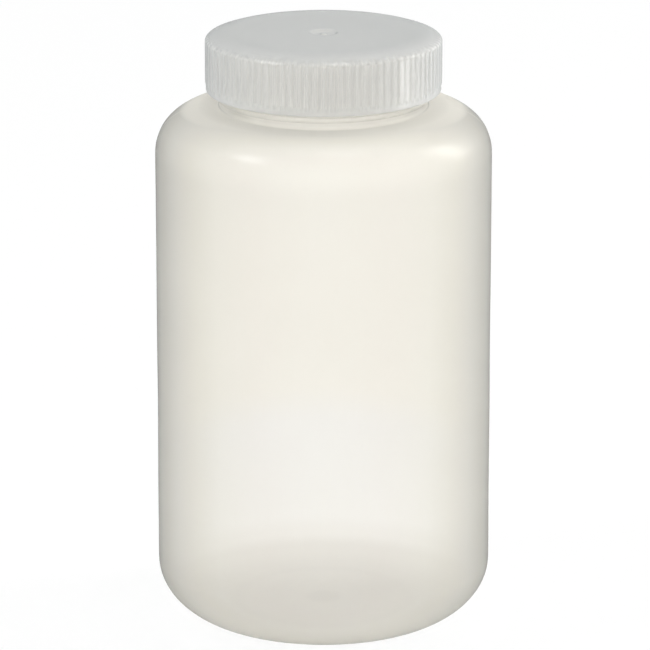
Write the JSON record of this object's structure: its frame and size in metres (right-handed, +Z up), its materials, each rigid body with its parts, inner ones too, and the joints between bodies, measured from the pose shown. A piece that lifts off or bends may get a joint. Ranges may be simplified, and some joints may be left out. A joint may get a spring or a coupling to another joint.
{
  "type": "reagent bottle",
  "caption": "Round wide-mouth translucent plastic reagent bottle with a ribbed screw cap and sealing liner; the cap unscrews and lifts clear.",
  "frame": {"origin": "on the bottle's axis, in the plane the bottle stands on", "axes": "+Z up along the bottle's axis; the mould's parting plane is XZ; -Y is the side seen from the front"},
  "size_m": [0.098, 0.098, 0.1768],
  "materials": {
    "body_plastic": "natural milky polyolefin, translucent, fine satin surface",
    "cap_plastic": "natural polypropylene, translucent, satin moulded surface with grip ribs",
    "liner_plastic": "soft natural polyethylene sheet, smooth"
  },
  "bodies": {
    "bottle": {"bottle_body": "body_plastic"},
    "liner": {"cap_liner": "liner_plastic"},
    "cap": {"screw_cap": "cap_plastic"}
  },
  "joints": [
    {"name": "liner_rise", "type": "slide", "parent": "bottle", "child": "liner", "axis": [0, 0, 1], "range_m": [0, 0.017]},
    {"name": "cap_turn", "type": "hinge", "parent": "liner", "child": "cap", "pos_m": [0, 0, 0.16], "axis": [0, 0, 1], "range_deg": [0, 1440]}
  ],
  "couplings": [
    {"joint": "liner_rise", "follows": "cap_turn", "m_per_rad": 0.00067375}
  ]
}
